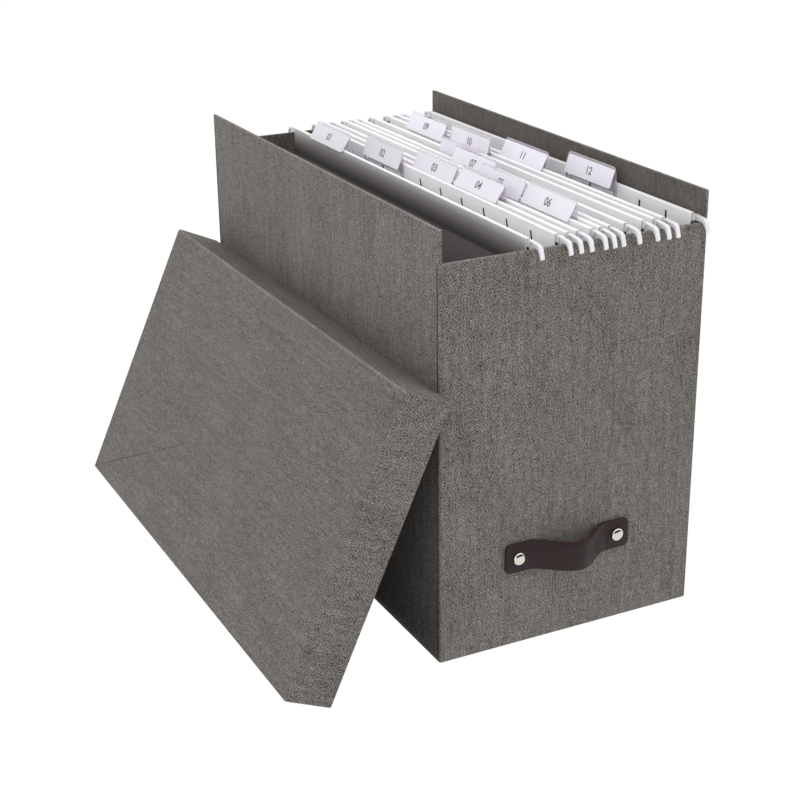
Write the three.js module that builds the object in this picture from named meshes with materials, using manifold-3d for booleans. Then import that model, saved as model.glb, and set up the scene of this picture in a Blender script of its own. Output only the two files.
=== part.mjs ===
// Desk box for hanging files: a cloth-covered board box, its lift-off lid leaning on one side, a
// riveted leather pull, and six paper hanging files on plastic rods, with a clear tab on every panel.
// Millimetres, +Z up, Y along the box. The origin is the centre of the box's underside, and the pull
// is on the end wall that faces -Y.

import * as THREE from 'three';
import { mergeVertices } from 'three/addons/utils/BufferGeometryUtils.js';
import Module from 'manifold-3d';

const wasm = await Module();
wasm.setup();

// Box body
const BOX_WIDTH = 180;
const BOX_LENGTH = 346;
const SIDE_HEIGHT = 270;
const END_DROP = 19.4; // the end walls stop this far below the side walls
const BOARD = 2.2; // board with its cloth and lining
const CORNER_RADIUS = 2.5; // upright edges
const BASE_RADIUS = 3; // edges round the underside
const INNER_RADIUS = 1;

// Fineness of round forms
const CORNER_STEPS = 3; // along each rounded corner
const ROUND_STEPS = 16; // round a hole or a turned piece
const DOME_STEPS = 5;

// Gaps
const SEAT_GAP = 0.3; // between pieces that rest on or clasp each other
const CUT_MARGIN = 5; // how far a cutting solid runs past what it cuts
const WELD_DISTANCE = 1e-4; // corners closer than this are one
const SLOPE_STEP = 0.01; // over which a curve's slope is taken

// Hanger rods: a strip in the panel's channel, with an arm and a hook at each end
const ROD_STRIP_THICKNESS = 1.2;
const ROD_STRIP_HEIGHT = 4.4;
const ROD_ARM_HEIGHT = 3.7;
const ROD_ARM_WIDTH = 2.6;
const ROD_RIM = 0.9; // rim that stiffens the arm along its top and round the hook
const HOOK_WALL_GAP = 1.5; // between the hook and the end wall's outer face
const HOOK_WIDTH = 6;
const HOOK_DROP = 6; // tip below the top of the end wall
const HOOK_TIP_WIDTH = 1.8;
const HOOK_SLANT_DROP = 2; // below the top of the end wall, the hook's outer edge slants in
const HOOK_RADIUS = 3.5;
const SEAT_LENGTH = 7.5; // raised underside of the arm, over the end wall

// Lid
const LID_DEPTH = 31.3;
const LID_BOARD = 2.2;
const LID_SIDE_CLEARANCE = 3.5; // to each side wall when the lid is on
const LID_HOOK_CLEARANCE = 1.3; // to each hook when the lid is on
const LID_LEAN = THREE.MathUtils.degToRad(65.8);
const LID_SHIFT = -3.5; // along Y, as it leans

// Leather pull
const STRAP_LENGTH = 87;
const STRAP_WIDTH = 19;
const STRAP_THICKNESS = 2.3;
const STRAP_BOTTOM = 49.3;
const STRAP_BOW = 14; // outer face of the loop, out from the wall
const STRAP_LOOP_LENGTH = 56;
const STRAP_END_RADIUS = 3;
const STRAP_STEPS = 24;

// Rivets
const RIVET_SPACING = 70;
const RIVET_CAP_RADIUS = 4;
const RIVET_CAP_HEIGHT = 2.2;
const RIVET_CAP_RIM = 0.55; // straight edge under the dome
const RIVET_SHANK_RADIUS = 1.6;
const RIVET_HOLE_CLEARANCE = 0.4;
const RIVET_BACK_RADIUS = 4.5;
const RIVET_BACK_HEIGHT = 1.4;
const RIVET_BACK_TAPER = 0.6;

// Paper files. Each pair says how far a file's front rod and rear rod hang from the inner face of the
// side wall on +X.
const FILES = [[116.8, 97.8], [90.8, 83.8], [74.3, 68.3], [62.3, 51.3], [38.8, 30.8], [24.5, 3.3]];
const PANEL_END_GAP = 5.8; // from each end of a panel to the end wall's inner face
const PAPER = 0.5;
const FILE_FLOOR_GAP = 10; // under the bottom fold
const FOLD_RADIUS = 2;
const CHANNEL_CLEARANCE = 0.3; // round the rod's strip
const POCKET_DEPTH = 6.7; // free channel below the strip, where the slits are
const FLAP_TAPER = 3.5; // height over which the channel's inner flap closes on the panel
const SLIT_COUNT = 11;
const SLIT_PITCH = 28;
const SLIT_WIDTH = 1;
const SLIT_HEIGHT = 6.3;
const SLIT_DROP = 0.4; // top of the slits below the strip
const CHANNEL_CORNER = 0.45; // bevel along the channel's two top edges

// Clear tabs, bent from one strip, and their paper labels
const TAB_WIDTH = 54.6;
const TAB_PLASTIC = 0.4;
const BACK_LEG = 16.8;
const LABEL_LEG = 14;
const TAB_CORNER_RADIUS = 1.6;
const RIDGE_RADIUS = 0.35;
const TAB_SLIT_OFFSET = 4.5; // the two tongues' midpoint from the tab's middle
const TONGUE_HEIGHT = 4.6;
const TONGUE_REACH = 4;
const TONGUE_OVERLAP = 0.2; // of the leg's foot over the tongues
const LABEL_WIDTH = 52.6;
const LABEL_HEIGHT = 10.4;
const LABEL_THICKNESS = 0.2;
const LABEL_GAP = 0.1;
const LABEL_DROP = 3.2; // from the ridge

// Where each tab sits. slot counts slit pitches from the middle of the panel, lean is how far the
// ridge leans along X from the foot, rise is the tongue's play in its slit, and slant is the label
// leg's angle from upright in degrees.
const TABS = [
  { panel: 1, slot: 4, lean: 3, rise: 0.4, slant: 35 },
  { panel: 2, slot: 2, lean: 0, rise: -0.4, slant: 20 },
  { panel: 3, slot: 0, lean: 0, rise: 0, slant: 24.5 },
  { panel: 4, slot: -2, lean: -0.5, rise: 0, slant: 34 },
  { panel: 5, slot: -2, lean: 0.85, rise: 0.3, slant: 27 },
  { panel: 6, slot: -4, lean: -0.5, rise: 0.5, slant: 29 },
  { panel: 7, slot: 0, lean: 0, rise: -0.6, slant: 24.5 },
  { panel: 8, slot: 1, lean: -4, rise: 0, slant: 9 },
  { panel: 9, slot: 4, lean: 0.6, rise: 0, slant: 26.5 },
  { panel: 10, slot: 2, lean: -1, rise: 0.5, slant: 12.5 },
  { panel: 11, slot: 0, lean: 1, rise: 0.2, slant: 28 },
  { panel: 12, slot: -2, lean: -1.6, rise: 0.5, slant: 18 },
];

// Heights and faces worked out from the sizes above
const END_HEIGHT = SIDE_HEIGHT - END_DROP;
const BOX_END = BOX_LENGTH / 2;
const BOX_SIDE = BOX_WIDTH / 2;
const RODS = FILES.map((pair) => pair.map((fromWall) => BOX_SIDE - BOARD - fromWall)); // X of each rod
const PANEL_LENGTH = BOX_LENGTH - 2 * (BOARD + PANEL_END_GAP);
const ARM_BOTTOM = END_HEIGHT + SEAT_GAP;
const ROD_TOP = ARM_BOTTOM + ROD_ARM_HEIGHT;
const STRIP_BOTTOM = ROD_TOP - ROD_STRIP_HEIGHT;
const CHANNEL_INNER = ROD_STRIP_THICKNESS / 2 + CHANNEL_CLEARANCE; // half width inside the channel
const CHANNEL_OUTER = CHANNEL_INNER + PAPER;
const PANEL_TOP = ROD_TOP + CHANNEL_CLEARANCE + PAPER;
const POCKET_BOTTOM = STRIP_BOTTOM - POCKET_DEPTH;
const SLIT_TOP = STRIP_BOTTOM - SLIT_DROP;
const FOLD_CENTRE = BOARD + FILE_FLOOR_GAP + FOLD_RADIUS;
const HOOK_INNER = BOX_END + HOOK_WALL_GAP;
const ROD_END = HOOK_INNER + HOOK_WIDTH;
const LID_LENGTH = 2 * (ROD_END + LID_HOOK_CLEARANCE + LID_BOARD);
const LID_WIDTH = BOX_WIDTH + 2 * (LID_SIDE_CLEARANCE + LID_BOARD);
const WALL_FACE = -BOX_END; // outer face of the end wall that carries the pull
const STRAP_BACK = WALL_FACE - SEAT_GAP;
const STRAP_MIDDLE = STRAP_BOTTOM + STRAP_WIDTH / 2;
const TAB_FOOT = SLIT_TOP - SLIT_HEIGHT / 2 + TONGUE_HEIGHT / 2;

// Materials
const cloth = new THREE.MeshStandardMaterial({ color: 0x736e68, roughness: 0.95, metalness: 0 });
const leather = new THREE.MeshStandardMaterial({ color: 0x3b302f, roughness: 0.55, metalness: 0 });
const nickel = new THREE.MeshStandardMaterial({ color: 0xcfcac2, roughness: 0.25, metalness: 1 });
const card = new THREE.MeshStandardMaterial({ color: 0xe6e4e6, roughness: 0.85, metalness: 0 });
const whitePlastic = new THREE.MeshStandardMaterial({ color: 0xf2f2f2, roughness: 0.4, metalness: 0 });
const clearPlastic = new THREE.MeshStandardMaterial({
  color: 0xe4dfea, roughness: 0.1, metalness: 0, transparent: true, opacity: 0.45,
});
const labelPaper = new THREE.MeshStandardMaterial({ color: 0xf4f3f6, roughness: 0.9, metalness: 0 });

// Solids: a closed geometry becomes a solid for joins and cuts, and comes back as a geometry.
function toSolid(geometry) {
  const bare = geometry.clone();
  bare.deleteAttribute('normal');
  bare.deleteAttribute('uv');
  const merged = mergeVertices(bare, WELD_DISTANCE);
  return new wasm.Manifold(new wasm.Mesh({
    numProp: 3,
    vertProperties: new Float32Array(merged.attributes.position.array),
    triVerts: new Uint32Array(merged.index.array),
  }));
}

function toGeometry(solid) {
  const mesh = solid.getMesh();
  const geometry = new THREE.BufferGeometry();
  geometry.setAttribute('position', new THREE.BufferAttribute(mesh.vertProperties, mesh.numProp));
  geometry.setIndex(new THREE.BufferAttribute(mesh.triVerts, 1));
  geometry.computeVertexNormals();
  return geometry;
}

// Extrusions of a flat shape along each axis, as solids

function extrude(shape, from, to, toAxes) {
  const geometry = new THREE.ExtrudeGeometry(shape, {
    depth: to - from, bevelEnabled: false, curveSegments: CORNER_STEPS,
  });
  geometry.translate(0, 0, from);
  return toSolid(geometry.applyMatrix4(toAxes));
}

// The shape is drawn in Y and Z, and runs along X.
function extrudeX(shape, from, to) {
  const toAxes = new THREE.Matrix4().set(0, 0, 1, 0, 1, 0, 0, 0, 0, 1, 0, 0, 0, 0, 0, 1);
  return extrude(shape, from, to, toAxes);
}

// The shape is drawn in X and Z, and runs along Y.
function extrudeY(shape, from, to) {
  return extrude(shape, -to, -from, new THREE.Matrix4().makeRotationX(Math.PI / 2));
}

// The shape is drawn in X and Y, and runs along Z.
function extrudeZ(shape, from, to) {
  return extrude(shape, from, to, new THREE.Matrix4());
}

// A rectangle with one radius for each corner, counted from the low left one anticlockwise
function rectangle(x0, y0, x1, y1, radii = 0) {
  const [a, b, c, d] = Array.isArray(radii) ? radii : [radii, radii, radii, radii];
  const shape = new THREE.Shape();
  shape.moveTo(x0 + a, y0);
  shape.lineTo(x1 - b, y0);
  if (b) shape.absarc(x1 - b, y0 + b, b, -Math.PI / 2, 0, false);
  shape.lineTo(x1, y1 - c);
  if (c) shape.absarc(x1 - c, y1 - c, c, 0, Math.PI / 2, false);
  shape.lineTo(x0 + d, y1);
  if (d) shape.absarc(x0 + d, y1 - d, d, Math.PI / 2, Math.PI, false);
  shape.lineTo(x0, y0 + a);
  if (a) shape.absarc(x0 + a, y0 + a, a, Math.PI, 1.5 * Math.PI, false);
  return shape;
}

function polygon(points) {
  return new THREE.Shape(points.map(([x, y]) => new THREE.Vector2(x, y)));
}

function circle(x, y, radius, steps) {
  const points = [];
  for (let i = 0; i < steps; i += 1) {
    const angle = (2 * Math.PI * i) / steps;
    points.push([x + radius * Math.cos(angle), y + radius * Math.sin(angle)]);
  }
  return polygon(points);
}

// A tray of board, open upwards: rounded upright edges, and rounded edges round its underside
function tray(width, length, height, board) {
  const plan = extrudeZ(rectangle(-width / 2, -length / 2, width / 2, length / 2, CORNER_RADIUS), 0, height);
  const baseRadii = [BASE_RADIUS, BASE_RADIUS, 0, 0];
  const acrossX = extrudeY(rectangle(-width / 2, 0, width / 2, height, baseRadii), -length / 2, length / 2);
  const acrossY = extrudeX(rectangle(-length / 2, 0, length / 2, height, baseRadii), -width / 2, width / 2);
  const inside = rectangle(
    board - width / 2, board - length / 2, width / 2 - board, length / 2 - board, INNER_RADIUS,
  );
  return plan.intersect(acrossX).intersect(acrossY).subtract(extrudeZ(inside, board, height + CUT_MARGIN));
}

function rivetPlaces() {
  return [-RIVET_SPACING / 2, RIVET_SPACING / 2];
}

function rivetHoles(from, to) {
  const radius = RIVET_SHANK_RADIUS + RIVET_HOLE_CLEARANCE;
  return rivetPlaces().map((x) => extrudeY(circle(x, STRAP_MIDDLE, radius, ROUND_STEPS), from, to));
}

// The end walls are cut down between the side walls, whose ends stand free above them.
function boxBody() {
  const opening = BOX_SIDE - BOARD;
  const endCut = extrudeY(
    rectangle(-opening, END_HEIGHT, opening, SIDE_HEIGHT + CUT_MARGIN),
    -BOX_END - CUT_MARGIN,
    BOX_END + CUT_MARGIN,
  );
  let body = tray(BOX_WIDTH, BOX_LENGTH, SIDE_HEIGHT, BOARD).subtract(endCut);
  for (const hole of rivetHoles(WALL_FACE - CUT_MARGIN, WALL_FACE + CUT_MARGIN)) body = body.subtract(hole);
  return toGeometry(body);
}

// The pull in plan: flat against the wall under each rivet, bowed outward between them. distance is
// measured out from the strap's back face.
function strapBow(x) {
  const reach = STRAP_BOW - STRAP_THICKNESS - SEAT_GAP;
  const half = STRAP_LOOP_LENGTH / 2;
  return Math.abs(x) < half ? (reach / 2) * (1 + Math.cos((Math.PI * x) / half)) : 0;
}

function strapOutline() {
  const half = STRAP_LOOP_LENGTH / 2;
  const stations = [-STRAP_LENGTH / 2];
  for (let i = 0; i <= STRAP_STEPS; i += 1) stations.push(-half + (2 * half * i) / STRAP_STEPS);
  stations.push(STRAP_LENGTH / 2);
  const back = [];
  const front = [];
  for (const x of stations) {
    const slope = (strapBow(x + SLOPE_STEP) - strapBow(x - SLOPE_STEP)) / (2 * SLOPE_STEP);
    const length = Math.hypot(1, slope);
    back.push([x, STRAP_BACK - strapBow(x)]);
    front.push([
      x + (STRAP_THICKNESS * -slope) / length,
      STRAP_BACK - strapBow(x) - STRAP_THICKNESS / length,
    ]);
  }
  return polygon([...back.reverse(), ...front]);
}

function strap() {
  const band = extrudeZ(strapOutline(), STRAP_BOTTOM, STRAP_BOTTOM + STRAP_WIDTH);
  const face = extrudeY(
    rectangle(-STRAP_LENGTH / 2, STRAP_BOTTOM, STRAP_LENGTH / 2, STRAP_BOTTOM + STRAP_WIDTH, STRAP_END_RADIUS),
    STRAP_BACK - STRAP_BOW - CUT_MARGIN,
    STRAP_BACK + CUT_MARGIN,
  );
  let leatherBand = band.intersect(face);
  for (const hole of rivetHoles(STRAP_BACK - STRAP_BOW, STRAP_BACK + CUT_MARGIN)) {
    leatherBand = leatherBand.subtract(hole);
  }
  return toGeometry(leatherBand);
}

// Domed cap and shank in one, turned about Y. Its underside is at y = 0, with the shank towards +Y.
function rivetCap() {
  const shankLength = SEAT_GAP + STRAP_THICKNESS + SEAT_GAP + BOARD + RIVET_BACK_HEIGHT / 2;
  const profile = [new THREE.Vector2(0, shankLength), new THREE.Vector2(RIVET_SHANK_RADIUS, shankLength)];
  profile.push(new THREE.Vector2(RIVET_SHANK_RADIUS, 0));
  for (let i = 0; i <= DOME_STEPS; i += 1) {
    const angle = ((Math.PI / 2) * i) / DOME_STEPS;
    const height = i === 0 ? 0 : RIVET_CAP_RIM + (RIVET_CAP_HEIGHT - RIVET_CAP_RIM) * Math.sin(angle);
    profile.push(new THREE.Vector2(RIVET_CAP_RADIUS * Math.cos(angle), -height));
    if (i === 0) profile.push(new THREE.Vector2(RIVET_CAP_RADIUS, -RIVET_CAP_RIM));
  }
  profile[profile.length - 1].x = 0;
  return toGeometry(toSolid(new THREE.LatheGeometry(profile.reverse(), ROUND_STEPS)));
}

// Cup that closes the rivet on the lining, with the shank standing in it. It lies towards +Y.
function rivetBack() {
  const hole = RIVET_SHANK_RADIUS + RIVET_HOLE_CLEARANCE;
  const floor = RIVET_BACK_HEIGHT / 2 + SEAT_GAP;
  const profile = [
    [hole, 0], [RIVET_BACK_RADIUS, 0], [RIVET_BACK_RADIUS - RIVET_BACK_TAPER, RIVET_BACK_HEIGHT],
    [0, RIVET_BACK_HEIGHT], [0, floor], [hole, floor], [hole, 0],
  ];
  const points = profile.map(([r, y]) => new THREE.Vector2(r, y));
  return toGeometry(toSolid(new THREE.LatheGeometry(points, ROUND_STEPS)));
}

// The lid is a shallow tray, modelled open upwards with its rim on z = LID_DEPTH.
function lid() {
  return toGeometry(tray(LID_WIDTH, LID_LENGTH, LID_DEPTH, LID_BOARD));
}

// One end of a rod's arm and hook, drawn in Y and Z for the +Y end. inset draws the recess inside
// its rim: the same outline moved in from the top and the outer edge, and run out past the rest.
function armOutline(inset) {
  const start = PANEL_LENGTH / 2 + SEAT_GAP;
  const top = ROD_TOP - inset;
  const outer = ROD_END - inset;
  const radius = HOOK_RADIUS - inset;
  const tip = END_HEIGHT - HOOK_DROP - inset;
  const shape = new THREE.Shape();
  shape.moveTo(start, top);
  shape.lineTo(start, ARM_BOTTOM - inset);
  shape.lineTo(HOOK_INNER - inset, ARM_BOTTOM - inset);
  shape.lineTo(HOOK_INNER - inset, tip + HOOK_TIP_WIDTH);
  shape.lineTo(HOOK_INNER + HOOK_TIP_WIDTH / 2 - inset, tip);
  shape.lineTo(HOOK_INNER + HOOK_TIP_WIDTH - inset, tip);
  shape.lineTo(outer, END_HEIGHT - HOOK_SLANT_DROP);
  shape.lineTo(outer, top - radius);
  shape.absarc(outer - radius, top - radius, radius, 0, Math.PI / 2, false);
  return shape;
}

// A rod whose recesses face +X. The strip runs down the middle of the panel's channel, with its
// underside raised where the arms rest on the end walls.
function rod() {
  const web = ROD_STRIP_THICKNESS / 2;
  const seatStart = BOX_END + HOOK_WALL_GAP - SEAT_LENGTH;
  const strip = extrudeX(rectangle(-seatStart, STRIP_BOTTOM, seatStart, ROD_TOP), -web, web);
  const arm = extrudeX(armOutline(0), -web, ROD_ARM_WIDTH - web);
  const recess = extrudeX(armOutline(ROD_RIM), web, ROD_ARM_WIDTH);
  const near = arm.subtract(recess);
  return toGeometry(strip.add(near).add(near.mirror([0, 1, 0])));
}

// Section of a file in X and Z, hung on its front and rear rods: each panel runs up from the bottom
// fold, over its rod, and back down as a flap glued inside. The two channels are left as holes.
function fileSection(front, rear) {
  const middle = (front + rear) / 2;
  const closed = POCKET_BOTTOM - FLAP_TAPER;
  const inFold = FOLD_RADIUS - PAPER;
  const corner = CHANNEL_CORNER;
  const shape = new THREE.Shape();
  shape.moveTo(front - CHANNEL_OUTER, closed);
  shape.lineTo(middle - FOLD_RADIUS, FOLD_CENTRE);
  shape.absarc(middle, FOLD_CENTRE, FOLD_RADIUS, Math.PI, 2 * Math.PI, false);
  shape.lineTo(rear + CHANNEL_OUTER, closed);
  shape.lineTo(rear + CHANNEL_OUTER, PANEL_TOP - corner);
  shape.lineTo(rear + CHANNEL_OUTER - corner, PANEL_TOP);
  shape.lineTo(rear - CHANNEL_OUTER + corner, PANEL_TOP);
  shape.lineTo(rear - CHANNEL_OUTER, PANEL_TOP - corner);
  shape.lineTo(rear - CHANNEL_OUTER, POCKET_BOTTOM);
  shape.lineTo(rear + CHANNEL_INNER, closed);
  shape.lineTo(middle + inFold, FOLD_CENTRE);
  shape.absarc(middle, FOLD_CENTRE, inFold, 2 * Math.PI, Math.PI, true);
  shape.lineTo(front - CHANNEL_INNER, closed);
  shape.lineTo(front + CHANNEL_OUTER, POCKET_BOTTOM);
  shape.lineTo(front + CHANNEL_OUTER, PANEL_TOP - corner);
  shape.lineTo(front + CHANNEL_OUTER - corner, PANEL_TOP);
  shape.lineTo(front - CHANNEL_OUTER + corner, PANEL_TOP);
  shape.lineTo(front - CHANNEL_OUTER, PANEL_TOP - corner);
  const top = PANEL_TOP - PAPER;
  for (const [rodX, side] of [[front, 1], [rear, -1]]) {
    const outer = rodX - side * CHANNEL_INNER;
    const inner = rodX + side * CHANNEL_INNER;
    shape.holes.push(polygon([
      [outer, closed + FLAP_TAPER / 2], [inner, POCKET_BOTTOM], [inner, top], [outer, top],
    ]));
  }
  return shape;
}

function slitPlaces() {
  const places = [];
  for (let i = 0; i < SLIT_COUNT; i += 1) places.push((i - (SLIT_COUNT - 1) / 2) * SLIT_PITCH);
  return places;
}

// The slits go through the channels' inner walls alone, on the faces that look at each other.
function paperFile(front, rear) {
  let file = extrudeY(fileSection(front, rear), -PANEL_LENGTH / 2, PANEL_LENGTH / 2);
  const reach = CHANNEL_OUTER + SEAT_GAP;
  for (const [from, to] of [[front, front + reach], [rear - reach, rear]]) {
    for (const y of slitPlaces()) {
      const slit = rectangle(y - SLIT_WIDTH / 2, SLIT_TOP - SLIT_HEIGHT, y + SLIT_WIDTH / 2, SLIT_TOP);
      file = file.subtract(extrudeX(slit, from, to));
    }
  }
  return toGeometry(file);
}

// A clear tab on the +X face of a panel whose rod is at x = 0, drawn with its middle at y = 0. The
// foot of the back leg is at z = 0, and the two tongues pass through their slits into the channel.
function tab(leanX, slant) {
  const legPlane = CHANNEL_OUTER + SEAT_GAP + TAB_PLASTIC / 2;
  const ridge = ridgePoint(leanX);
  const half = TAB_WIDTH / 2;
  const backLeg = extrudeX(rectangle(-half, 0, half, BACK_LEG, TAB_CORNER_RADIUS), -TAB_PLASTIC / 2, TAB_PLASTIC / 2)
    .rotate([0, THREE.MathUtils.radToDeg(Math.asin(leanX / BACK_LEG)), 0])
    .translate([legPlane, 0, 0]);
  const labelLeg = extrudeX(rectangle(-half, -LABEL_LEG, half, 0, TAB_CORNER_RADIUS), -TAB_PLASTIC / 2, TAB_PLASTIC / 2)
    .rotate([0, slant, 0])
    .translate([ridge.x, 0, ridge.z]);
  const bead = circle(ridge.x, ridge.z, RIDGE_RADIUS, ROUND_STEPS / 2);
  const beadHalf = half - TAB_CORNER_RADIUS;
  let solid = backLeg.add(labelLeg).add(extrudeY(bead, -beadHalf, beadHalf));
  for (const slit of [TAB_SLIT_OFFSET - SLIT_PITCH, TAB_SLIT_OFFSET + SLIT_PITCH]) {
    solid = solid.add(tongue(slit, Math.min(slit - TONGUE_REACH, half - TAB_CORNER_RADIUS)));
  }
  return solid;
}

// A tongue in plan: along the leg's plane to its slit, in through the slit, and on inside the channel
function tongue(slit, rootStart) {
  const outer = CHANNEL_OUTER + SEAT_GAP + TAB_PLASTIC;
  const insideFace = CHANNEL_INNER - SEAT_GAP;
  const half = TAB_PLASTIC / 2;
  const plan = polygon([
    [outer - TAB_PLASTIC, rootStart], [outer, rootStart], [outer, slit + half], [insideFace, slit + half],
    [insideFace, slit + TONGUE_REACH], [insideFace - TAB_PLASTIC, slit + TONGUE_REACH],
    [insideFace - TAB_PLASTIC, slit - half], [outer - TAB_PLASTIC, slit - half],
  ]);
  return extrudeZ(plan, TONGUE_OVERLAP - TONGUE_HEIGHT, TONGUE_OVERLAP);
}

// The ridge of a tab, from the foot of its back leg
function ridgePoint(leanX) {
  const legPlane = CHANNEL_OUTER + SEAT_GAP + TAB_PLASTIC / 2;
  return { x: legPlane + leanX, z: Math.sqrt(BACK_LEG ** 2 - leanX ** 2) };
}

// A paper label lies inside the tab against its label leg.
function label(leanX, slant, side) {
  const ridge = ridgePoint(leanX);
  const offset = TAB_PLASTIC / 2 + LABEL_GAP;
  const faces = side > 0 ? [offset, offset + LABEL_THICKNESS] : [-offset - LABEL_THICKNESS, -offset];
  const sheet = rectangle(-LABEL_WIDTH / 2, -LABEL_DROP - LABEL_HEIGHT, LABEL_WIDTH / 2, -LABEL_DROP);
  return extrudeX(sheet, ...faces).rotate([0, slant, 0]).translate([ridge.x, 0, ridge.z]);
}

// On a front panel the tab is on the +X face, and on a rear panel on the -X face. Either way its
// label leg slants down towards -X, where the labels are read from.
function tabSolids({ panel, lean, slant }) {
  const onFront = panel % 2 === 1;
  const turn = (solid) => (onFront ? solid : solid.mirror([1, 0, 0]));
  const side = onFront ? 1 : -1;
  return {
    tab: toGeometry(turn(tab(side * lean, side * slant))),
    label: toGeometry(turn(label(side * lean, side * slant, side))),
  };
}

// Assembly
function piece(name, geometry, material) {
  const mesh = new THREE.Mesh(geometry, material);
  mesh.name = name;
  return mesh;
}

function pull() {
  const pullGroup = new THREE.Group();
  pullGroup.add(piece('strap_handle', strap(), leather));
  rivetPlaces().forEach((x, i) => {
    const side = i === 0 ? 'left' : 'right';
    const cap = piece(`rivet_${side}`, rivetCap(), nickel);
    cap.position.set(x, STRAP_BACK - STRAP_THICKNESS - SEAT_GAP, STRAP_MIDDLE);
    const back = piece(`rivet_back_${side}`, rivetBack(), nickel);
    back.position.set(x, WALL_FACE + BOARD + SEAT_GAP, STRAP_MIDDLE);
    pullGroup.add(cap, back);
  });
  return pullGroup;
}

// The lid leans on the side wall that faces -X: its lower rim stands on the ground, its upper rim
// rests against the wall, and its open side faces the box.
function leaningLid() {
  const leaning = new THREE.Group();
  leaning.position.set(-BOX_SIDE - SEAT_GAP - LID_WIDTH * Math.cos(LID_LEAN), LID_SHIFT, 0);
  leaning.rotation.y = -LID_LEAN;
  const board = piece('lid', lid(), cloth);
  board.rotation.x = Math.PI;
  board.position.set(LID_WIDTH / 2, 0, LID_DEPTH);
  leaning.add(board);
  return leaning;
}

function hangingFiles() {
  const files = new THREE.Group();
  const rodX = RODS.flat();
  RODS.forEach(([front, rear], i) => {
    files.add(piece(`file_${i + 1}`, paperFile(front, rear), card));
  });
  rodX.forEach((x, i) => {
    const bar = piece(`rod_${String(i + 1).padStart(2, '0')}`, rod(), whitePlastic);
    bar.position.x = x;
    if (i % 2 === 1) bar.rotation.z = Math.PI;
    files.add(bar);
  });
  for (const spec of TABS) {
    const solids = tabSolids(spec);
    const number = String(spec.panel).padStart(2, '0');
    const place = new THREE.Group();
    const middle = spec.slot * SLIT_PITCH - TAB_SLIT_OFFSET;
    place.position.set(rodX[spec.panel - 1], middle, TAB_FOOT + spec.rise - TONGUE_OVERLAP);
    place.add(piece(`tab_${number}`, solids.tab, clearPlastic));
    place.add(piece(`label_${number}`, solids.label, labelPaper));
    files.add(place);
  }
  return files;
}

const group = new THREE.Group();
group.add(piece('box_body', boxBody(), cloth));
group.add(leaningLid(), pull(), hangingFiles());

export default group;
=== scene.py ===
import math
from contextlib import contextmanager

import bmesh
import bpy
from mathutils import Matrix, Vector, geometry


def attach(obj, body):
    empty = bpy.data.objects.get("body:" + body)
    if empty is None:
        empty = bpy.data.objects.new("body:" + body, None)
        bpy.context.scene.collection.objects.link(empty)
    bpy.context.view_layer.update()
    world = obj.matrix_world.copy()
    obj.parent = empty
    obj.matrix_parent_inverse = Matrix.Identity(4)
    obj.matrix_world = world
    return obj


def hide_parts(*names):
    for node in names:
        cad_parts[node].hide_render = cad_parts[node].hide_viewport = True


# A cloth-covered box for hanging files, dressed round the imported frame: woven canvas over board, a
# leather pull with nickel rivets, card files on plastic rods, and clear tabs with numbered labels.
# Shapes are given in millimetres and turned into metres where a mesh is made. Materials and the studio
# are in metres: their texture scales are per metre, except for the canvas's, which are per millimetre.

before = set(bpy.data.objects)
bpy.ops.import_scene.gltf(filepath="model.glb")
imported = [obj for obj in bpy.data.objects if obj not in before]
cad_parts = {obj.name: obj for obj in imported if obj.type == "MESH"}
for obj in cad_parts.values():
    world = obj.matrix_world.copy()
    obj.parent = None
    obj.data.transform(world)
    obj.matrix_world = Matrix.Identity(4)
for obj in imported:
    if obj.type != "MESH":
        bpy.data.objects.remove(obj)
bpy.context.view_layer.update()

MM = 0.001
SAME = 1e-6  # two places closer than this are one
PAST = 5.0  # how far a cutter reaches out past what it cuts

# Box body
BOX_WIDTH, BOX_LENGTH, SIDE_HEIGHT = 180.0, 346.0, 270.0
END_HEIGHT = 250.6
HALF_X, HALF_Y = BOX_WIDTH / 2, BOX_LENGTH / 2
BOARD = 2.2
CORNER_RADIUS = 1.6
BASE_RADIUS = 1.2
RIM_ROUND = 0.55
ROUND_SEGMENTS = 6
WALL_TOUCH = 0.2  # a face this close to a wall's inner side still counts as the inner side
FOLD_SEAM_WIDTH, FOLD_SEAM_DEPTH = 1.1, 0.8  # where the end's cloth meets the side's
LINING_TOP = 226.0  # the cloth is turned in down to here, and the lining paper starts
LINING_GAP = 0.05
LINING_PAPER = 0.3

# Lid
LID_DEPTH = 31.3
LID_WIDTH, LID_LENGTH = 191.4, 368.0
LID_LEAN = math.radians(65.8)
LID_SHIFT = -3.5
LID_SEAT = 0.3
LID_EDGE_RADIUS = 2.0
LID_TURNED_IN = 12.0  # the cloth inside the lid's rim, down to its lining
LID_SPLIT_INSET = 4.0

# Leather pull
STRAP_LENGTH, STRAP_WIDTH, STRAP_THICKNESS = 87.0, 19.0, 2.3
STRAP_BOTTOM = 50.3
STRAP_SHIFT = -2.4  # along X, from the middle of the wall
STRAP_REACH = 15.2  # of the loop's back face, out from the flat ends
STRAP_LOOP = 56.0
STRAP_END_RADIUS = 3.0
STRAP_EDGE_ROUND = 0.5
STRAP_MIDDLE = STRAP_BOTTOM + STRAP_WIDTH / 2
SEAT_GAP = 0.3
STRAP_BACK = -HALF_Y - SEAT_GAP
STRAP_STEPS = 110
STRAP_EVEN = 0.65  # share of even spacing along the pull, where the rest crowds towards its ends
STRAP_CORNER_STEPS = 3
STRAP_RAW = (6, 7, 8, 14, 15, 0)  # the section's faces on its two cut edges

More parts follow.
